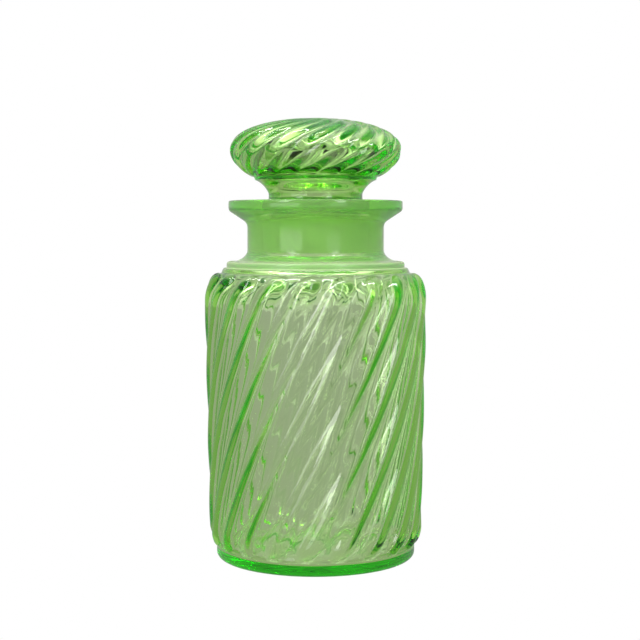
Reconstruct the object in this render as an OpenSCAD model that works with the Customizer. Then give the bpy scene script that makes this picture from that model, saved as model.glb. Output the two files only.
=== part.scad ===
// Swirl-ribbed glass apothecary jar with a hollow mushroom stopper.
// Two loose pieces: the jar, and the stopper that is ground to fit its neck.
// Origin: centre of the rest rim, +Z up. Millimetres and degrees.

/* [Foot] */
// Diameter of the plain round foot
foot_d = 67.8; // [60:0.2:72]
// Height of the plain foot, up to where the ribs start
foot_h = 4.6; // [4:0.2:12]
// Rounding of the foot's lower outer edge
foot_edge_r = 2; // [0.5:0.1:3]
// Width of the flat rim that the jar rests on
rest_w = 6; // [2:0.5:12]
// Height of the recess under the base
push_up_h = 0.6; // [0.2:0.1:1.5]

/* [Body] */
// Diameter over the ribs, at the foot of the shoulder
body_d = 75.4; // [66:0.2:90]
// How much narrower the body is at its heel
body_taper = 2.7; // [0:0.1:4]
// Height of the ribbed body, heel to ring
body_h = 94; // [60:1:140]
// Height of the rounded heel
heel_h = 5.4; // [3:0.1:8]
// Height of the rounded shoulder
shoulder_h = 10.5; // [5:0.5:12]
// Number of swirl ribs round the body
rib_count = 20; // [12:1:24]
// How far a rib stands above the grooves beside it
rib_depth = 2; // [0.5:0.1:2.5]
// Angle through which the ribs turn from heel to ring
rib_twist = 77; // [0:1:120]
// Angle from the front to the lower end of the first groove
rib_start = 3.5; // [-9:0.5:9]

/* [Walls] */
// Thickness of the body wall, which bends in and out with the ribs
wall_t = 2.2; // [1.6:0.1:4]
// Thickness of the floor
floor_t = 3.2; // [3:0.1:8]
// Rounding between the floor and the wall, inside
floor_r = 3; // [1:0.5:5]

/* [Neck] */
// Diameter of the ring between shoulder and neck
ring_d = 60.4; // [52:0.2:66]
// Height of the ring's upright edge
ring_h = 1.9; // [1:0.1:4]
// Height of the hollow curve between ring and neck
cove_h = 4.2; // [2:0.1:8]
// Outside diameter of the neck
neck_d = 46.3; // [43:0.1:52]
// Height of the straight neck
neck_h = 9.1; // [6:0.1:20]
// Height of the sloping underside of the lip
lip_slope_h = 4.2; // [2:0.1:8]
// Diameter of the lip
lip_d = 59; // [54:0.2:66]
// Thickness of the lip at its edge
lip_h = 3.3; // [1.5:0.1:5]

/* [Ground joint] */
// Diameter of the bore at the lip
bore_d = 37; // [33:0.1:38]
// Taper of the bore and the plug, on the diameter, over the plug's length
bore_taper = 1.6; // [0.4:0.1:3]
// Length of the plug in the bore
plug_l = 18; // [10:0.5:22]
// Bevel at the mouth of the bore
mouth_bevel = 0.8; // [0.3:0.1:1.5]
// Gap between the plug and the bore, on the radius
joint_gap = 0.05; // [0.02:0.01:0.2]

/* [Stopper] */
// Diameter of the waist above the plug
waist_d = 31.8; // [26:0.2:34]
// Height from the lip to the top of the waist
waist_h = 2.3; // [1:0.1:6]
// Height of the hollow curve between waist and collar
flare_h = 4.7; // [3:0.1:8]
// Diameter of the collar under the knob
collar_d = 41.2; // [38:0.2:45]
// Height of the collar
collar_h = 0.8; // [0.5:0.1:5]
// Diameter of the knob
knob_d = 58; // [50:0.2:70]
// Height of the knob's lower part, from the collar to its widest
knob_low_h = 9.3; // [6:0.1:11]
// Height of the knob's upper part, from its widest to the crown
knob_top_h = 10.5; // [8:0.2:16]
// Number of swirl ribs round the knob
knob_rib_count = 20; // [12:1:24]
// How far a knob rib stands above the grooves beside it
knob_rib_depth = 1.2; // [0.5:0.1:2]
// Angle through which the knob ribs turn from collar to crown
knob_twist = 110; // [0:5:160]
// Angle from the front to the lower end of the knob's first groove
knob_start = 5; // [-9:0.5:9]
// Thickness of the knob's wall
knob_wall_t = 2.6; // [2:0.1:6]
// Thickness of the wall of waist and plug
plug_wall_t = 4; // [2.5:0.1:6]

/* [Hidden] */

rib_steps = 8;          // facets across one rib of the body
inner_steps = 6;        // facets across the same rib inside the wall
knob_rib_steps = 6;     // facets across one rib of the knob
wall_rows = 11;         // rings of facets up the body wall
inner_rows = 9;         // rings of facets up the inside of the wall
curve_rows = 5;         // rings of facets round the heel and round the shoulder
knob_rows = 20;         // rings of facets from collar to crown
arc_steps = 8;          // points along a curved outline
sink = 0.5;             // how deep one shape is sunk into the next one
through = 1;            // how far a cut runs past the face that it opens
heel_power = 1.6;       // 2 makes the heel an ellipse, less makes it straighter
crown_power = 2.2;      // 2 makes the crown an ellipse, more makes it fuller
flare_power = 1.4;      // 2 makes the flare under the collar an ellipse, less makes it straighter
knob_low_depth = 13.5;  // half height of the ellipse that the knob's lower part is cut from
crown_end = 0.93;       // part of the way to the crown at which the ribs run out
low_fade = 2;           // the knob's ribs are full height after 1/this of its lower part
crown_fade = 3;         // how late the knob's ribs sink towards the crown
ledge_w = 1;            // how far the shoulder's top reaches out beyond the ring
rib_end_w = 0.1;        // how far the lower ends of the ribs start outside the foot
rib_rise = 6;           // height over which the ribs grow on the inside of the wall
rib_sink = 2;           // rings of facets over which they sink again in the inner shoulder
dome_drop = 1;          // how far below the outer shoulder the inner one starts
throat_rise = 2.5;        // how far above the ring's lower edge the inner shoulder ends
max_sine = 0.99;        // keeps the lower part of the knob off the ellipse's pole
$fn = 96;

heel_z = foot_h;
ring_z = heel_z + body_h;
shoulder_z = ring_z - shoulder_h;
wall_z = heel_z + heel_h;
ring_top_z = ring_z + ring_h;
neck_z = ring_top_z + cove_h;
lip_slope_z = neck_z + neck_h;
lip_edge_z = lip_slope_z + lip_slope_h;
lip_z = lip_edge_z + lip_h;
plug_z = lip_z - plug_l;
throat_z = min(ring_z + throat_rise, plug_z - sink);
dome_z = shoulder_z - dome_drop;

// Radii over the ribs outside, and under the grooves inside
shoulder_r = body_d / 2;
low_r = shoulder_r - body_taper / 2;
ledge_r = ring_d / 2 + ledge_w;
rib_end_r = foot_d / 2 + rib_end_w;
inner_top_r = shoulder_r - rib_depth - wall_t;
inner_low_r = foot_d / 2 - wall_t;
corner_z = floor_t + floor_r;

// Radii of the ground joint
bore_r = bore_d / 2;
bore_low_r = bore_r - bore_taper / 2;
throat_lap_r = bore_low_r - sink;
plug_hole_r = bore_low_r - joint_gap - plug_wall_t;
waist_hole_r = waist_d / 2 - plug_wall_t;

flare_z = lip_z + waist_h;
collar_z = flare_z + flare_h;
knob_z = collar_z + collar_h;
widest_z = knob_z + knob_low_h;
knob_r = knob_d / 2;
knob_hole_r = knob_r - knob_rib_depth - knob_wall_t;
knob_hole_h = knob_top_h - knob_rib_depth - knob_wall_t;
knob_low_angle = asin(min(max_sine, knob_low_h / knob_low_depth));

// One row of a ribbed skin: [radius, height, outward slope in r, outward slope in z, end fade]
// Row at slope a of an outline over the ribs, with the grooves cut in from it; v is 1 at the ribs' ends
function cut_row(r, z, a, v, depth) =
    let (cut = depth * (1 - v * v))
    [r - cut * cos(a), z - cut * sin(a), cos(a), sin(a), v];

// Heel: a quarter superellipse, rising and widening
heel_profile = [for (i = [0 : curve_rows])
    let (a = -90 + 90 * i / curve_rows, e = 2 / heel_power)
    cut_row(rib_end_r + (low_r - rib_end_r) * pow(cos(a), e), wall_z - heel_h * pow(-sin(a), e), a,
        1 - i / curve_rows, rib_depth)];

// Straight, slightly widening wall
wall_profile = [for (i = [1 : wall_rows - 1])
    let (t = i / wall_rows)
    cut_row(low_r + (shoulder_r - low_r) * t, wall_z + (shoulder_z - wall_z) * t, 0, 0, rib_depth)];

// Shoulder: a quarter ellipse, closing in to the ledge round the ring
shoulder_profile = [for (i = [0 : curve_rows])
    let (a = 90 * i / curve_rows)
    cut_row(ledge_r + (shoulder_r - ledge_r) * cos(a), shoulder_z + shoulder_h * sin(a), a,
        i / curve_rows, rib_depth)];

body_profile = concat(heel_profile, wall_profile, shoulder_profile);

// Inside of the jar: rounded corner of the floor, wall with the ribs pressed out into it, inner shoulder
corner_profile = [for (i = [0 : curve_rows - 1])
    let (a = -90 + 90 * i / curve_rows)
    [inner_low_r - floor_r + floor_r * cos(a), corner_z + floor_r * sin(a), cos(a), sin(a), 1]];

inner_wall_profile = [for (i = [0 : inner_rows - 1])
    let (t = i / inner_rows, z = corner_z + (dome_z - corner_z) * t)
    [inner_low_r + (inner_top_r - inner_low_r) * t, z, 1, 0, max(0, 1 - (z - corner_z) / rib_rise)]];

dome_profile = [for (i = [0 : curve_rows])
    let (a = 90 * i / curve_rows)
    [throat_lap_r + (inner_top_r - throat_lap_r) * cos(a), dome_z + (throat_z - dome_z) * sin(a),
     cos(a), sin(a), min(1, i / rib_sink)]];

inner_profile = concat(corner_profile, inner_wall_profile, dome_profile);

// Lower part of the knob: the stretch of an ellipse from the collar up to the widest place
knob_low_profile = [for (i = [0 : curve_rows - 1])
    let (a = -knob_low_angle * (1 - i / curve_rows))
    cut_row(knob_r * cos(a), widest_z + knob_low_depth * sin(a), a, max(0, 1 - low_fade * i / curve_rows),
        knob_rib_depth)];

// Upper part of the knob: a superellipse from the widest place to the edge of the smooth crown
knob_top_profile = [for (i = [0 : knob_rows - curve_rows])
    let (t = i / (knob_rows - curve_rows), a = 90 * crown_end * t, e = 2 / crown_power)
    cut_row(knob_r * pow(cos(a), e), widest_z + knob_top_h * pow(sin(a), e), a, pow(t, crown_fade),
        knob_rib_depth)];

knob_profile = concat(knob_low_profile, knob_top_profile);

// Height of a rib: a rounded back across it (u from -1 to 1) that runs out at its ends (v from 0 to 1)
function rib_height(u, v) = max(0, 1 - u * u - v * v);

// Distance travelled along a profile up to row i
function travel(p, i) = i == 0 ? 0 : travel(p, i - 1) + norm([p[i][0] - p[i - 1][0], p[i][1] - p[i - 1][1]]);

// Closed skin of rows of points, each row turned further than the one below it
module ribbed(profile, turns, count, steps, depth, start) {
    n = count * steps;
    rows = len(profile);
    points = [for (j = [0 : rows - 1], i = [0 : n - 1])
        let (p = profile[j], h = depth * rib_height(2 * (i % steps) / steps - 1, p[4]),
             r = p[0] + h * p[2], a = start - 90 + 360 * i / n + turns[j])
        [r * cos(a), r * sin(a), p[1] + h * p[3]]];
    sides = [for (j = [0 : rows - 2], i = [0 : n - 1], k = [0, 1])
        let (a = j * n + i, b = j * n + (i + 1) % n)
        k == 0 ? [a, a + n, b] : [b, a + n, b + n]];
    bottom = [for (i = [0 : n - 1]) i];
    top = [for (i = [n - 1 : -1 : 0]) (rows - 1) * n + i];
    polyhedron(points = points, faces = concat([bottom, top], sides), convexity = 6);
}

// A skin that turns with the ribs of the body
module twisted(profile, steps) {
    turns = [for (p = profile) rib_twist * (p[1] - heel_z) / body_h];
    ribbed(profile, turns, rib_count, steps, rib_depth, rib_start);
}

module ribbed_knob() {
    last = len(knob_profile) - 1;
    turns = [for (i = [0 : last]) knob_twist * travel(knob_profile, i) / travel(knob_profile, last)];
    ribbed(knob_profile, turns, knob_rib_count, knob_rib_steps, knob_rib_depth, knob_start);
}

module foot() {
    edge = [for (i = [0 : arc_steps])
        let (a = -90 + 90 * i / arc_steps)
        [foot_d / 2 - foot_edge_r + foot_edge_r * cos(a), foot_edge_r + foot_edge_r * sin(a)]];
    recess_r = foot_d / 2 - foot_edge_r - rest_w;
    rotate_extrude() polygon(concat([[0, push_up_h], [recess_r - 2 * push_up_h, push_up_h], [recess_r, 0]],
        edge, [[foot_d / 2, heel_z + sink], [0, heel_z + sink]]));
}

module neck_and_lip() {
    cove = [for (i = [0 : arc_steps])
        let (a = 90 * i / arc_steps)
        [ring_d / 2 - (ring_d - neck_d) / 2 * sin(a), neck_z - cove_h * cos(a)]];
    rotate_extrude() polygon(concat([[0, ring_z - 2 * sink], [ring_d / 2, ring_z - 2 * sink]], cove,
        [[neck_d / 2, lip_slope_z], [lip_d / 2, lip_edge_z], [lip_d / 2, lip_z], [0, lip_z]]));
}

// Everything that the jar is empty of: the inside, the throat and ground bore, and the bevelled mouth
module inside() {
    twisted(inner_profile, inner_steps);
    rotate_extrude() polygon([[0, throat_z - sink], [bore_low_r, throat_z - sink], [bore_low_r, plug_z],
        [bore_r, lip_z], [0, lip_z]]);
    translate([0, 0, lip_z - mouth_bevel])
        cylinder(h = mouth_bevel + through, r1 = bore_r, r2 = bore_r + mouth_bevel + through);
}

module jar() {
    color([0.62, 0.84, 0.45, 0.6])
    difference() {
        union() {
            twisted(body_profile, rib_steps);
            foot();
            neck_and_lip();
        }
        inside();
    }
}

module plug_waist_collar() {
    plug_top_z = lip_z - mouth_bevel;
    top_r = bore_r - joint_gap - bore_taper / 2 * mouth_bevel / plug_l;
    flare = [for (i = [0 : arc_steps])
        let (a = 90 * i / arc_steps, e = 2 / flare_power)
        [collar_d / 2 - (collar_d - waist_d) / 2 * pow(cos(a), e), flare_z + flare_h * pow(sin(a), e)]];
    rotate_extrude() polygon(concat(
        [[0, plug_z], [bore_low_r - joint_gap, plug_z], [top_r, plug_top_z], [waist_d / 2, lip_z]],
        flare, [[collar_d / 2, knob_z + sink], [0, knob_z + sink]]));
}

// The blown hollow, open under the plug
module stopper_hollow() {
    roof = [for (i = [0 : arc_steps])
        let (a = 90 * i / arc_steps)
        [knob_hole_r * cos(a), widest_z + knob_hole_h * sin(a)]];
    rotate_extrude() polygon(concat(
        [[0, plug_z - through], [plug_hole_r, plug_z - through], [waist_hole_r, plug_z + plug_l],
         [waist_hole_r, flare_z], [collar_d / 2 - knob_wall_t, knob_z]], roof));
}

module stopper() {
    color([0.66, 0.88, 0.5, 0.6])
    difference() {
        union() {
            ribbed_knob();
            plug_waist_collar();
        }
        stopper_hollow();
    }
}

jar();
stopper();
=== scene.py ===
import bpy
import numpy as np
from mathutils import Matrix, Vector


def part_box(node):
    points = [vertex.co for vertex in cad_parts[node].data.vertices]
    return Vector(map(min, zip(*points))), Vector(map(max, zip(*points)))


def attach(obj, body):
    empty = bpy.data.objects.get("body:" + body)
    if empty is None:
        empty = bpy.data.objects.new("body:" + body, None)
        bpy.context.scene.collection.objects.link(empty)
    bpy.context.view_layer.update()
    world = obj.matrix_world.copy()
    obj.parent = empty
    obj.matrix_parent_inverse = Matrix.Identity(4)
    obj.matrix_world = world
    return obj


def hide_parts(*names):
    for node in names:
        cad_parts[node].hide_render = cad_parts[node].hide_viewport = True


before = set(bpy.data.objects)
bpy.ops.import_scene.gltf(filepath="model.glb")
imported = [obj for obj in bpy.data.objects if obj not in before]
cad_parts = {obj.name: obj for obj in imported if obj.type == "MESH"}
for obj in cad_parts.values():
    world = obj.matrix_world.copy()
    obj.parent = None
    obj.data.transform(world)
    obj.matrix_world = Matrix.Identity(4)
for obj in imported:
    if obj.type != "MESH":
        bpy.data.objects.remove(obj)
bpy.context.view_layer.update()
print("frame loaded:", ", ".join(sorted(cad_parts)))

mm = 0.001
near = 0.01                 # millimetres within which two lengths count as the same
white = (1, 1, 1, 1)
scene = bpy.context.scene


# straight line between two (radius, height) places in millimetres, as evenly spaced rows
def lineTo(start, end, count):
    t = np.linspace(0, 1, count)[:, None]
    return np.array(start) * (1 - t) + np.array(end) * t


# stretch of an ellipse: centre + (a cos, b sin) of the angle, with both raised to 2/power
def arcOf(centre, a, b, fromDeg, toDeg, count, power=2.0):
    angle = np.radians(np.linspace(fromDeg, toDeg, count))
    c, s = np.cos(angle), np.sin(angle)
    r = centre[0] + a * np.sign(c) * np.abs(c) ** (2 / power)
    z = centre[1] + b * np.sign(s) * np.abs(s) ** (2 / power)
    return np.stack([r, z], axis=1)


# corner rounded by a parabola: three points weighted by (1-t)^2, 2t(1-t), t^2. It starts and ends
# the given size from the corner, or halfway along a shorter side
def cornerOf(before, corner, after, size, count=5):
    before, corner, after = np.array(before, float), np.array(corner, float), np.array(after, float)
    a = corner + (before - corner) * min(0.5, size / np.linalg.norm(before - corner))
    b = corner + (after - corner) * min(0.5, size / np.linalg.norm(after - corner))
    t = np.linspace(0, 1, count)[:, None]
    return a * (1 - t) ** 2 + corner * 2 * t * (1 - t) + b * t ** 2


# outline through corner points, each rounded by its own size
def roundedLine(points):
    rows = [np.array([points[0][:2]], float)]
    for before, here, after in zip(points, points[1:], points[2:]):
        rows.append(cornerOf(before[:2], here[:2], after[:2], here[2]))
    rows.append(np.array([points[-1][:2]], float))
    return np.concatenate(rows)


# drops rows that repeat the one before
def joinRows(parts, least=1e-4):
    rows = np.concatenate(parts)
    step = np.linalg.norm(np.diff(rows, axis=0), axis=1)
    return rows[np.concatenate([[True], step > least])]


# outward direction of each row: the tangent from its neighbours, turned a quarter to the right
def outwardOf(rows):
    tangent = np.gradient(rows, axis=0)
    tangent /= np.linalg.norm(tangent, axis=1)[:, None]
    return np.stack([tangent[:, 1], -tangent[:, 0]], axis=1)


# distance travelled along the outline up to each row
def travelOf(rows):
    step = np.linalg.norm(np.diff(rows, axis=0), axis=1)
    return np.concatenate([[0], np.cumsum(step)])


# slow unevenness of hand-finished glass: a sum of products of two sines, with a whole number of
# waves round the piece and the other sine's wavelength, in millimetres, along its height
def unevenness(angle, along, waves, seed, turnRange=(1, 9), pitchRange=(9, 45)):
    rng = np.random.default_rng(seed)
    total = np.zeros(np.broadcast(angle, along).shape)
    for _ in range(waves):
        turns = rng.integers(*turnRange)
        pitch = rng.uniform(*pitchRange)
        phase = rng.uniform(0, 2 * np.pi, 2)
        total += np.sin(turns * angle + phase[0]) * np.sin(2 * np.pi * along / pitch + phase[1])
    return total / np.sqrt(waves)


# closed body of revolution: point = (r cos angle, r sin angle, z) on a grid of rows and columns,
# with one shared point at each pole. Rows run so that the glass lies on their left. Each row also
# carries how matt it is, from 0 for polished to 1 for ground
def turnedMesh(name, radius, height, angle, ground):
    rows, columns = radius.shape
    inner = slice(1, rows - 1)
    grid = np.stack([radius * np.cos(angle), radius * np.sin(angle), height], axis=2)
    ring = grid[inner].reshape(-1, 3)
    poles = np.array([[0, 0, height[0].mean()], [0, 0, height[-1].mean()]])
    points = np.concatenate([ring, poles]) * mm
    place = np.arange((rows - 2) * columns).reshape(rows - 2, columns)
    turned = np.roll(place, -1, axis=1)
    quads = np.stack([place[:-1], turned[:-1], turned[1:], place[1:]], axis=2).reshape(-1, 4)
    first, last = len(ring), len(ring) + 1
    start = np.stack([np.full(columns, first), turned[0], place[0]], axis=1)
    end = np.stack([np.full(columns, last), place[-1], turned[-1]], axis=1)
    mesh = bpy.data.meshes.new(name)
    mesh.from_pydata(points.tolist(), [], quads.tolist() + start.tolist() + end.tolist())
    mesh.shade_smooth()
    mask = np.concatenate([np.broadcast_to(ground[:, None], radius.shape)[inner].ravel(), [0, 0]])
    layer = mesh.attributes.new("ground", "FLOAT", "POINT")
    layer.data.foreach_set("value", mask.astype(np.float32))
    piece = bpy.data.objects.new(name, mesh)
    scene.collection.objects.link(piece)
    return piece


# places across the ribs: u goes from -1 to 1 over each rib, closer together at the grooves,
# and the angle round the piece goes with it
def acrossRibs(count, samples, crowding=0.4):
    t = 2 * np.arange(samples) / samples - 1
    u = (1 - crowding) * t + crowding * np.sin(np.pi / 2 * t)
    angle = (np.arange(count)[:, None] + (u[None, :] + 1) / 2) * 360 / count
    return np.tile(u, count)[None, :], angle.reshape(1, -1)


# back of a rib: 1 - u^power across it, with a fillet of the given width in the groove, where a
# parabola takes the slope down to nothing
def ribBack(u, power, fillet):
    inGroove = np.clip((np.abs(u) - 1 + fillet) / fillet, 0, 1)
    lift = power * fillet / 2
    return 1 - (np.abs(u) ** power - lift * inGroove ** 2) / (1 - lift)


# towards the ends of a rib v goes from 0 to 1 and takes v^2 off its back, which rounds the end
def ribHeight(u, endFade, power, fillet):
    return np.clip(ribBack(u, power, fillet) - endFade[:, None] ** 2, 0, None)


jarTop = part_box("jar")[1][2] / mm

jarSizes = {
    "ribCount": 20,
    "ribSamples": 18,
    "ribDepth": 2.0,
    "ribPower": 1.9,        # 2 is a parabola across the rib, more has a flatter back
    "fillet": 0.4,          # part of half a rib that the round bottom of a groove takes
    "innerFillet": 0.8,
    "ribTwist": 77.0,       # degrees from heel to ring
    "ribStart": 3.5,        # degrees from the front to the lower end of a groove
    "gap": 0.2,             # left between two stretches of the outline
    "wideGap": 0.3,
    "step": 0.1,            # how far heel and ring start beside the stretch before them
    "bodyR": 37.7,
    "lowR": 36.35,          # at the lower end of the wall
    "footR": 33.9,
    "footEdge": 2.0,
    "restWidth": 6.0,
    "restCorners": (1.0, 0.6),
    "pushUp": 0.6,          # depth of the recess underneath
    "heelZ": 4.6,
    "heelHeight": 5.4,
    "heelPower": 1.6,
    "shoulderHeight": 10.5,
    "ringZ": 98.6,
    "ledgeR": 31.2,
    "ringR": 30.2,
    "ringHeight": 1.9,
    "ringCorners": (0.45, 0.9),
    "ringTop": (1.0, 0.35),     # how far its top runs in and up towards the cove
    "coveHeight": 4.2,
    "coveFrom": 262,        # degrees, where the cove leaves the ring
    "neckR": 23.15,
    "neckHeight": 9.1,
    "lipSlope": 4.2,
    "lipR": 29.5,
    "lipCorners": (1.4, 0.9, 0.6, 0.35, 0.25),      # from the neck, over the lip, into the bore
    "lipEdge": 3.6,         # height of the lip that has the lip's bloom
    "lipBloom": 0.16,       # how matt lip, neck and ring are beside the ground joint
    "neckBloom": 0.21,
    "ringBloom": 0.4,
    "boreR": 18.5,
    "boreLowR": 17.7,
    "boreStart": ((0.05, 1.0), (0.06, 1.2)),    # in and down from the bevel, for its first places
    "bevel": 0.8,
    "groundRise": 0.1,      # how far the grinding reaches above the lower edge of the bevel
    "plugLength": 18.0,
    "throatRise": 2.5,      # how far the inner shoulder runs up behind the ring
    "domeDrop": 1.0,        # how far the inner shoulder, and the inner wall, start below the outer
    "wall": 2.2,
    "floor": 3.2,
    "floorCorner": 3.0,
    "floorGap": 1.0,
    "archLength": 7.0,      # length of the round end of a rib, along the shoulder
    "archDrop": 0.9,
    "archPower": 3,
    "valleyWidth": 1.6,     # hollow between the arches and the ring
    "valleyEdge": 0.3,      # part of its width that is level
    "valleyShare": 0.72,    # its depth, as part of the ribs'
    "heelArch": 3.5,        # length of the ribs' lower ends, at the heel
    "innerShare": 0.95,     # how much of the ribs shows on the inside of the wall
    "innerRise": 6.0,       # height over which they grow there
    "innerTop": 6.0,        # where they end, above the start of the shoulder
    "innerFall": 8.0,       # and the height over which they run out
    "innerReach": 6.0,      # how far in from the wall they go
    "outerUneven": 0.05,
    "outerWaves": 10,
    "outerSeed": 3,
    "innerUneven": 0.10,
    "innerWaves": 14,
    "innerSeed": 8,
    "rows": {"footEdge": 9, "footSide": 4, "heel": 16, "wall": 52, "shoulder": 42, "cove": 14, "bore": 8,
             "throat": 3, "dome": 22, "inside": 34, "corner": 9, "floor": 8},
}


def makeJar(s):
    rows = s["rows"]
    shoulderZ = s["ringZ"] - s["shoulderHeight"]
    wallZ = s["heelZ"] + s["heelHeight"]
    footFlatR = s["footR"] - s["footEdge"]
    restR = footFlatR - s["restWidth"]
    heelR = s["footR"] + s["step"]
    ringTop = s["ringZ"] + s["ringHeight"]
    coveZ = ringTop + s["coveHeight"]
    neckTop = coveZ + s["neckHeight"]
    bevelZ = jarTop - s["bevel"]
    plugZ = jarTop - s["plugLength"]
    throatZ = s["ringZ"] + s["throatRise"]
    domeZ = shoulderZ - s["domeDrop"]
    topR = s["bodyR"] - s["ribDepth"] - s["wall"]
    bottomR = s["footR"] - s["wall"]
    cornerR = bottomR - s["floorCorner"]
    cornerZ = s["floor"] + s["floorCorner"]

    # foot
    underneath = roundedLine([
        (0, s["pushUp"], 0), (restR - 2 * s["pushUp"], s["pushUp"], s["restCorners"][0]),
        (restR, 0, s["restCorners"][1]), (footFlatR - s["gap"], 0, 0)])
    footEdge = arcOf((footFlatR, s["footEdge"]), s["footEdge"], s["footEdge"], -90, 0, rows["footEdge"])
    footSide = lineTo((s["footR"], s["footEdge"]), (s["footR"], s["heelZ"] - s["gap"]), rows["footSide"])

    # body
    heel = arcOf((heelR, wallZ), s["lowR"] - heelR, s["heelHeight"], -90, 0, rows["heel"], s["heelPower"])
    wall = lineTo((s["lowR"], wallZ), (s["bodyR"], shoulderZ), rows["wall"])
    shoulder = arcOf((s["ledgeR"], shoulderZ), s["bodyR"] - s["ledgeR"], s["shoulderHeight"], 0, 90,
                     rows["shoulder"])

    # ring, neck and lip
    ring = roundedLine([
        (s["ledgeR"] - s["step"], s["ringZ"], 0), (s["ringR"], s["ringZ"], s["ringCorners"][0]),
        (s["ringR"], ringTop, s["ringCorners"][1]),
        (s["ringR"] - s["ringTop"][0], ringTop + s["ringTop"][1], 0)])
    cove = arcOf((s["ringR"], coveZ), s["ringR"] - s["neckR"], s["coveHeight"], s["coveFrom"], 180,
                 rows["cove"])
    toSlope, toEdge, toTop, toBevel, toBore = s["lipCorners"]
    (firstIn, firstDown), (nextIn, nextDown) = s["boreStart"]
    lip = roundedLine([
        (s["neckR"], coveZ + s["wideGap"], 0), (s["neckR"], neckTop, toSlope),
        (s["lipR"], neckTop + s["lipSlope"], toEdge), (s["lipR"], jarTop, toTop),
        (s["boreR"] + s["bevel"], jarTop, toBevel), (s["boreR"], bevelZ, toBore),
        (s["boreR"] - firstIn, bevelZ - firstDown, 0)])

    # inside
    bore = lineTo((s["boreR"] - nextIn, bevelZ - nextDown), (s["boreLowR"], plugZ), rows["bore"])
    throat = lineTo((s["boreLowR"], plugZ - s["wideGap"]), (s["boreLowR"], throatZ + s["gap"]),
                    rows["throat"])
    dome = arcOf((s["boreLowR"], domeZ), topR - s["boreLowR"], throatZ - domeZ, 90, 0, rows["dome"])
    inside = lineTo((topR, domeZ - s["domeDrop"]), (bottomR, cornerZ), rows["inside"])
    corner = arcOf((cornerR, cornerZ), s["floorCorner"], s["floorCorner"], 0, -90, rows["corner"])
    floorLine = lineTo((cornerR - s["floorGap"], s["floor"]), (0, s["floor"]), rows["floor"])

    foot = [underneath, footEdge, footSide]
    body = foot + [heel, wall, shoulder]
    outerSide = body + [ring, cove, lip]
    section = joinRows(outerSide + [bore, throat, dome, inside, corner, floorLine])
    first, last, lipEnd = (len(joinRows(part)) for part in (foot, body, outerSide))
    row = np.arange(len(section))

    # ribs: only between heel and ring, ending in round arches with a shallow valley above them
    way = travelOf(section)
    outward = outwardOf(section)
    ribbed = (row >= first) & (row < last)
    start, end = way[ribbed].min(), way[ribbed].max()
    left = end - way - s["valleyWidth"]
    valley = np.interp(left, [-s["valleyWidth"], -s["valleyEdge"] * s["valleyWidth"], 0, s["archLength"]],
                       [0, s["valleyShare"], s["valleyShare"], 1])
    fade = np.clip(1 - (way - start) / s["heelArch"], 0, 1)
    drop = s["archDrop"] * np.clip(1 - left / s["archLength"], 0, 2) ** s["archPower"]
    u, spread = acrossRibs(s["ribCount"], s["ribSamples"])
    back = ribBack(u, s["ribPower"], s["fillet"])
    # the higher of the two: the rib's back, falling at its upper end, or the bottom of the grooves
    bottom = np.where(ribbed, valley * (1 - fade ** 2), 0)[:, None]
    height = -s["ribDepth"] * np.minimum(1 - back + drop[:, None], bottom)

    # the inside bends out with the ribs, out of reach of the floor and the throat
    isInside = (row > last) & (section[:, 1] < throatZ) & (section[:, 0] < topR + near)
    follow = np.clip((section[:, 1] - cornerZ) / s["innerRise"], 0, 1)
    follow *= np.clip((shoulderZ + s["innerTop"] - section[:, 1]) / s["innerFall"], 0, 1)
    follow = np.where(isInside & (section[:, 0] > bottomR - s["innerReach"]), 1 - (1 - follow) ** 2, 0)
    innerBack = ribBack(u, s["ribPower"], s["innerFillet"])
    height = height - s["innerShare"] * s["ribDepth"] * follow[:, None] * innerBack

    # each row is turned in step with its height
    turn = s["ribTwist"] * np.clip((section[:, 1] - s["heelZ"]) / (s["ringZ"] - s["heelZ"]), 0, 1)
    angle = np.radians(s["ribStart"] - 90 + spread + turn[:, None])

    # unevenness: slight outside, where the mould shaped it, and more on the inside
    level = section[:, 1:2]
    uneven = (np.where(ribbed, s["outerUneven"], 0)[:, None]
              * unevenness(angle, level, s["outerWaves"], s["outerSeed"]))
    uneven += (np.where(isInside, s["innerUneven"], 0)[:, None]
               * unevenness(angle, level, s["innerWaves"], s["innerSeed"]))
    height = height + uneven

    # matt where the joint is ground, with a faint bloom on lip, neck and ring
    ground = ((row >= last) & (section[:, 0] < s["boreR"] + 2 * near) & (section[:, 1] >= plugZ - near)
              & (section[:, 1] < bevelZ + s["groundRise"])).astype(float)
    ground[last:lipEnd] = s["neckBloom"]
    ground[last:last + len(ring)] = s["ringBloom"]
    ground[section[:, 1] > jarTop - s["lipEdge"]] = s["lipBloom"]

    radius = section[:, 0:1] + height * outward[:, 0:1]
    radius[[0, -1]] = 0
    return turnedMesh("glassJar", radius, level + height * outward[:, 1:2], angle, ground)


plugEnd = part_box("stopper")[0][2] / mm

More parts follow.
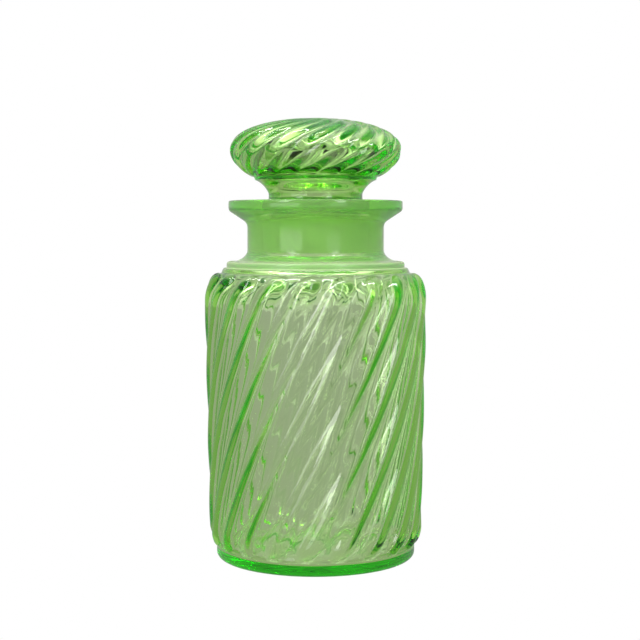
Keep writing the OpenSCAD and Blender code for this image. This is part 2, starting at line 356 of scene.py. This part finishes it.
stopperSizes = {
    "ribCount": 20,
    "ribSamples": 18,
    "ribDepth": 0.95,
    "ribPower": 2.0,
    "fillet": 0.35,
    "innerFillet": 0.6,
    "innerShare": 1.0,
    "ribTwist": 110.0,
    "ribStart": 5.0,
    "runIn": 4.0,           # length over which the ribs rise above the collar
    "fadeFrom": 0.15,       # part of the way to the crown after which they run out
    "fadeOver": 0.65,
    "fadePower": 2.5,
    "knobR": 29.0,
    "knobLowHeight": 9.3,
    "knobLowDepth": 13.5,   # height the lower flank would have if it went on to the axis
    "knobTopHeight": 10.5,
    "crownPower": 2.2,      # 2 is an ellipse, more is fuller
    "knobWall": 2.6,
    "hollowFrom": -4,       # degrees below the widest place, where the hollow's lower flank starts
    "hollowNeck": (1.6, 1.0),       # out from the hole in the waist, down from the knob
    "hollowCorners": (1.5, 2.0, 2.0, 0.6),
    "collarR": 20.6,
    "collarHeight": 0.8,
    "collarLean": 0.1,
    "collarCorners": (0.5, 0.4),
    "collarOut": (0.7, 0.4),        # out and up, to where the knob's flank starts
    "flareHeight": 4.7,
    "flarePower": 1.4,
    "flareTo": 94,          # degrees, where the flare meets the collar
    "waistR": 15.9,
    "waistHeight": 2.3,
    "waistRise": 0.2,       # how far above the jar's lip it starts
    "waistCorners": (0.3, 0.8),
    "plugR": 18.45,
    "plugLowR": 17.65,
    "plugWall": 4.0,
    "plugCorner": 0.5,
    "plugStart": ((0.03, 0.6), (0.04, 0.8)),    # out and up from its lower end, for its first places
    "plugInset": 0.04,
    "plugGaps": (0.4, 0.3),         # below the bevel: end of the ground side, start of the waist
    "innerUneven": 0.12,
    "outerUneven": 0.03,
    "waves": 10,
    "seed": 5,
    "evenPole": 2.0,        # radius round the axis that has no unevenness
    "evenLip": 1.0,         # height above the jar's lip from which there is some
    "rows": {"roof": 26, "hollowLow": 10, "plug": 8, "flare": 14, "low": 22, "top": 60},
}


def makeStopper(s):
    rows = s["rows"]
    bevelZ = jarTop - jarSizes["bevel"]
    flareZ = jarTop + s["waistHeight"]
    collarZ = flareZ + s["flareHeight"]
    knobZ = collarZ + s["collarHeight"]
    widestZ = knobZ + s["knobLowHeight"]
    lowAngle = np.degrees(np.arcsin(s["knobLowHeight"] / s["knobLowDepth"]))
    holeR = s["plugLowR"] - s["plugWall"]
    waistHoleR = s["waistR"] - s["plugWall"]
    plugTopR = s["plugR"] - s["plugInset"]
    skin = s["ribDepth"] + s["knobWall"]
    centre = (0, widestZ)

    # hollow, from its roof down to the open end of the plug
    roof = arcOf(centre, s["knobR"] - skin, s["knobTopHeight"] - skin, 90, 0, rows["roof"])
    hollowLow = arcOf(centre, s["knobR"] - skin, s["knobLowDepth"] - skin, s["hollowFrom"], -lowAngle,
                      rows["hollowLow"])
    neckOut, neckDown = s["hollowNeck"]
    toNeck, toWaist, toPlug, toEnd = s["hollowCorners"]
    (firstOut, firstUp), (nextOut, nextUp) = s["plugStart"]
    hollow = roundedLine([
        tuple(hollowLow[-1]) + (0,), (waistHoleR + neckOut, knobZ - neckDown, toNeck),
        (waistHoleR, flareZ, toWaist), (waistHoleR, jarTop, toPlug), (holeR, plugEnd, toEnd),
        (s["plugLowR"], plugEnd, s["plugCorner"]), (s["plugLowR"] + firstOut, plugEnd + firstUp, 0)])

    # outside, from the plug up to the crown
    sideGap, waistGap = s["plugGaps"]
    plug = lineTo((s["plugLowR"] + nextOut, plugEnd + nextUp), (plugTopR, bevelZ - sideGap), rows["plug"])
    waist = roundedLine([
        (plugTopR, bevelZ - waistGap, 0), (plugTopR, bevelZ, s["waistCorners"][0]),
        (s["waistR"], jarTop + s["waistRise"], s["waistCorners"][1]), (s["waistR"], flareZ, 0)])
    flare = arcOf((s["collarR"], flareZ), s["collarR"] - s["waistR"], s["flareHeight"], 180, s["flareTo"],
                  rows["flare"], s["flarePower"])
    collarOut, collarUp = s["collarOut"]
    collar = roundedLine([
        tuple(flare[-1]) + (0,), (s["collarR"], collarZ, s["collarCorners"][0]),
        (s["collarR"] + s["collarLean"], knobZ, s["collarCorners"][1]),
        (s["collarR"] + collarOut, knobZ + collarUp, 0)])
    low = arcOf(centre, s["knobR"], s["knobLowDepth"], -lowAngle, 0, rows["low"])
    low = low[low[:, 0] > s["collarR"] + collarOut]
    top = arcOf(centre, s["knobR"], s["knobTopHeight"], 0, 90, rows["top"], s["crownPower"])
    section = joinRows([roof, hollowLow, hollow, plug, waist, flare, collar, low, top])
    row = np.arange(len(section))

    # ribs stay under the outline: the grooves are cut in from it, less and less towards the crown
    way = travelOf(section)
    outward = outwardOf(section)
    outside = row >= len(section) - len(low) - len(top) + 1
    inside = row < len(roof) + len(hollowLow) - 2
    start, end = way[outside].min(), way[outside].max()
    along = (way - start) / (end - start)
    fade = (np.clip(1 - (way - start) / s["runIn"], 0, 1)
            + np.clip((along - s["fadeFrom"]) / s["fadeOver"], 0, 1) ** s["fadePower"])
    fade[~outside] = 1
    u, spread = acrossRibs(s["ribCount"], s["ribSamples"])
    height = s["ribDepth"] * (ribHeight(u, fade, s["ribPower"], s["fillet"])
                              - np.clip(1 - fade ** 2, 0, 1)[:, None])

    # rows turn with the way along the outside. The hollow's take their turn from the same radius
    # outside, counted as negative below the widest place
    turn = np.where(outside, along, 0)
    reach = section[:, 0] * np.sign(section[:, 1] - widestZ + 1e-9)
    turn[inside] = np.interp(-reach[inside], -reach[outside], along[outside])
    angle = np.radians(s["ribStart"] - 90 + spread + s["ribTwist"] * turn[:, None])

    # the hollow bends out with the ribs: as much as they stand out at the same place outside
    follow = np.where(inside, 1 - np.interp(turn, along[outside], fade[outside]) ** 2, 0)
    innerBack = ribBack(u, s["ribPower"], s["innerFillet"])
    height = height - s["innerShare"] * s["ribDepth"] * follow[:, None] * innerBack

    # unevenness: more in the hollow, and none at the poles and on the plug
    level = section[:, 1:2]
    uneven = (np.where(inside, s["innerUneven"], s["outerUneven"])[:, None]
              * unevenness(angle, level, s["waves"], s["seed"]))
    uneven[section[:, 0] < s["evenPole"]] = 0
    height = height + uneven * np.where(section[:, 1] > jarTop + s["evenLip"], 1, 0)[:, None]

    ground = ((section[:, 0] > s["plugLowR"] - near) & (section[:, 1] < bevelZ)).astype(float)
    radius = section[:, 0:1] + height * outward[:, 0:1]
    radius[[0, -1]] = 0
    return turnedMesh("glassStopper", radius, level + height * outward[:, 1:2], angle, ground)


# sRGB hex to linear, with alpha 1
def hexColour(text):
    c = np.array([int(text[i:i + 2], 16) for i in (1, 3, 5)]) / 255
    linear = np.where(c <= 0.04045, c / 12.92, ((c + 0.055) / 1.055) ** 2.4)
    return (*linear.tolist(), 1.0)


# adds a node with its settings and its links: inputs are values, or another node's output
def addNode(tree, kind, settings=None, inputs=None):
    node = tree.nodes.new(kind)
    for key, value in (settings or {}).items():
        setattr(node, key, value)
    for key, value in (inputs or {}).items():
        if isinstance(value, bpy.types.NodeSocket):
            tree.links.new(value, node.inputs[key])
        else:
            node.inputs[key].default_value = value
    return node


glassLook = {
    "tint": "#C5FA2C",      # what is left of white light after the density's distance
    "density": 138.0,       # per metre
    "ior": 1.52,
    "groundRoughness": 0.45,
    "bloom": "#F2FFD2",     # colour of the light that a matt surface scatters
    "onward": 0.4,          # part of that which goes on into the glass
    "groundHaze": 0.85,     # share of the light that the ground surface scatters every way
    "ripplePitch": 6.25,    # millimetres between the slow ripples of the fire-polished skin
    "rippleHeight": 0.4,    # drawn in the bump only, and mostly taken back by the strength
    "rippleStrength": 0.05,
}


# uranium-green soda glass, mould-blown and fire-polished: clear yellow-green in a thin wall and
# deep green along the base, with bore and plug matt from the grinding wheel. The same haze, much
# fainter, lightens lip, neck and ring
def greenGlass(look):
    material = bpy.data.materials.new("uraniumGreenGlass")
    material.use_nodes = True
    tree = material.node_tree
    tree.nodes.clear()
    place = addNode(tree, "ShaderNodeTexCoord").outputs["Object"]
    ground = addNode(tree, "ShaderNodeAttribute", {"attribute_name": "ground"}).outputs["Fac"]
    roughness = addNode(tree, "ShaderNodeMath", {"operation": "MULTIPLY"},
                        {0: ground, 1: look["groundRoughness"]}).outputs["Value"]
    ripple = addNode(tree, "ShaderNodeTexNoise", {}, {
        "Vector": place, "Scale": 1 / (look["ripplePitch"] * mm), "Detail": 1.0})
    bump = addNode(tree, "ShaderNodeBump", {}, {
        "Strength": look["rippleStrength"], "Distance": look["rippleHeight"] * mm,
        "Height": ripple.outputs["Fac"]})
    clear = addNode(tree, "ShaderNodeBsdfPrincipled", {}, {
        "Base Color": white, "Transmission Weight": 1.0, "IOR": look["ior"],
        "Roughness": roughness, "Normal": bump.outputs["Normal"]})
    bloom = hexColour(look["bloom"])
    back = addNode(tree, "ShaderNodeBsdfDiffuse", {}, {"Color": bloom})
    on = addNode(tree, "ShaderNodeBsdfTranslucent", {}, {"Color": bloom})
    haze = addNode(tree, "ShaderNodeMixShader", {}, {
        0: look["onward"], 1: back.outputs[0], 2: on.outputs[0]})
    share = addNode(tree, "ShaderNodeMath", {"operation": "MULTIPLY"},
                    {0: ground, 1: look["groundHaze"]}).outputs["Value"]
    surface = addNode(tree, "ShaderNodeMixShader", {}, {0: share, 1: clear.outputs[0], 2: haze.outputs[0]})
    body = addNode(tree, "ShaderNodeVolumeAbsorption", {}, {
        "Color": hexColour(look["tint"]), "Density": look["density"]})
    addNode(tree, "ShaderNodeOutputMaterial", {}, {
        "Surface": surface.outputs[0], "Volume": body.outputs["Volume"]})
    return material


glass = greenGlass(glassLook)
jar = makeJar(jarSizes)
stopper = makeStopper(stopperSizes)
for piece, body in ((jar, "jar"), (stopper, "stopper")):
    piece.data.materials.append(glass)
    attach(piece, body)
    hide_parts(body)
    print(piece.name, "made with", len(piece.data.polygons), "faces")


stageLook = {
    "floorSize": 6.0,
    "floorGlow": 0.4,       # brightness of the lit table, as the glass sees it
    "backRoom": 0.6,        # brightness of the room behind the piece
    "frontRoom": 0.34,      # and of the room behind the camera
    "roomTurn": (-0.25, 0.15),      # where one goes over into the other, front to back from -1 to 1
    "ceiling": 1.2,         # what the white ceiling adds
    "ceilingEdge": (0.5, 0.9),      # where it starts, from 0 at the horizon to 1 straight up
    "aimHeight": 0.08,      # where on the axis the soft boxes point, in metres
}


# opal acrylic light table: even and matt, and white to the eye
def makeFloor(look):
    half = look["floorSize"] / 2
    mesh = bpy.data.meshes.new("floor")
    corners = [(-half, -half, 0), (half, -half, 0), (half, half, 0), (-half, half, 0)]
    mesh.from_pydata(corners, [], [(0, 1, 2, 3)])
    floor = bpy.data.objects.new("floor", mesh)
    scene.collection.objects.link(floor)
    material = bpy.data.materials.new("opalAcrylicTable")
    material.use_nodes = True
    tree = material.node_tree
    tree.nodes.clear()
    direct = addNode(tree, "ShaderNodeLightPath").outputs["Is Camera Ray"]
    table = addNode(tree, "ShaderNodeEmission", {}, {"Color": white, "Strength": look["floorGlow"]})
    glow = addNode(tree, "ShaderNodeEmission", {}, {"Color": white, "Strength": 1.0})
    mix = addNode(tree, "ShaderNodeMixShader", {}, {0: direct, 1: table.outputs[0], 2: glow.outputs[0]})
    addNode(tree, "ShaderNodeOutputMaterial", {}, {"Surface": mix.outputs[0]})
    mesh.materials.append(material)
    return floor


# grey room with a white ceiling, darker on the camera's side, so that the glass has dark and
# light lines to bend
def makeWorld(look):
    world = bpy.data.worlds.new("studio")
    scene.world = world
    world.use_nodes = True
    tree = world.node_tree
    tree.nodes.clear()
    direct = addNode(tree, "ShaderNodeLightPath").outputs["Is Camera Ray"]
    way = addNode(tree, "ShaderNodeTexCoord").outputs["Generated"]
    parts = addNode(tree, "ShaderNodeSeparateXYZ", {}, {"Vector": way})
    level = addNode(tree, "ShaderNodeMapRange", {"interpolation_type": "SMOOTHSTEP"}, {
        "Value": parts.outputs["Y"], "From Min": look["roomTurn"][0], "From Max": look["roomTurn"][1],
        "To Min": look["frontRoom"], "To Max": look["backRoom"]})
    above = addNode(tree, "ShaderNodeMapRange", {"interpolation_type": "SMOOTHSTEP"}, {
        "Value": parts.outputs["Z"], "From Min": look["ceilingEdge"][0],
        "From Max": look["ceilingEdge"][1], "To Min": 0, "To Max": look["ceiling"]})
    light = addNode(tree, "ShaderNodeMath", {"operation": "ADD"},
                    {0: level.outputs["Result"], 1: above.outputs["Result"]}).outputs["Value"]
    room = addNode(tree, "ShaderNodeBackground", {}, {"Color": white, "Strength": light})
    sweep = addNode(tree, "ShaderNodeBackground", {}, {"Color": white, "Strength": 1.0})
    mix = addNode(tree, "ShaderNodeMixShader", {}, {0: direct, 1: room.outputs[0], 2: sweep.outputs[0]})
    addNode(tree, "ShaderNodeOutputWorld", {}, {"Surface": mix.outputs[0]})


# soft boxes: azimuth in degrees from the camera's side (left is negative), height of the centre,
# distance, width, height, and brightness as seen in a mirror
softBoxes = {
    "leftWindow": dict(azimuth=-41, z=0.72, distance=1.2, width=0.36, height=1.0, radiance=6.5),
    "leftSill": dict(azimuth=-41, z=0.11, distance=1.2, width=0.85, height=0.2, radiance=2.3),
    "rightWindow": dict(azimuth=34, z=0.72, distance=1.4, width=0.32, height=1.0, radiance=6.0),
    "rightSill": dict(azimuth=30, z=0.11, distance=1.4, width=0.55, height=0.2, radiance=1.4),
    "overhead": dict(azimuth=-8, z=1.3, distance=0.35, width=2.0, height=0.14, radiance=22.0),
}


def makeSoftBox(name, box, aimHeight):
    light = bpy.data.lights.new(name, "AREA")
    light.shape = "RECTANGLE"
    light.size = box["width"]
    light.size_y = box["height"]
    light.energy = box["radiance"] * box["width"] * box["height"] * np.pi
    lamp = bpy.data.objects.new(name, light)
    scene.collection.objects.link(lamp)
    turn = np.radians(box["azimuth"])
    lamp.location = (box["distance"] * np.sin(turn), -box["distance"] * np.cos(turn), box["z"])
    direction = np.array([0, 0, aimHeight]) - np.array(lamp.location)
    lamp.rotation_euler = Vector(direction.tolist()).to_track_quat("-Z", "Y").to_euler()
    lamp.visible_camera = False
    return lamp


cameraLook = {
    "distance": 0.4764,
    "lens": 78.75,
    "height": 0.1121,
    "pitchDown": 3.76,
    "sideways": 0.0015,
    "sensor": 36,
    "clipStart": 0.01,
}


def makeCamera(look):
    data = bpy.data.cameras.new("camera")
    data.lens = look["lens"]
    data.sensor_width = look["sensor"]
    data.clip_start = look["clipStart"]
    camera = bpy.data.objects.new("camera", data)
    scene.collection.objects.link(camera)
    camera.location = (look["sideways"], -look["distance"], look["height"])
    camera.rotation_euler = (np.radians(90 - look["pitchDown"]), 0, 0)
    scene.camera = camera


makeFloor(stageLook)
makeWorld(stageLook)
for name, box in softBoxes.items():
    makeSoftBox(name, box, stageLook["aimHeight"])
makeCamera(cameraLook)
scene.view_settings.view_transform = "Standard"

# light goes through many walls of glass on its way, so it needs many bounces
bounces = {"all": 56, "glossy": 24}
scene.cycles.max_bounces = bounces["all"]
scene.cycles.transmission_bounces = bounces["all"]
scene.cycles.glossy_bounces = bounces["glossy"]
print("stage, lights and camera ready")
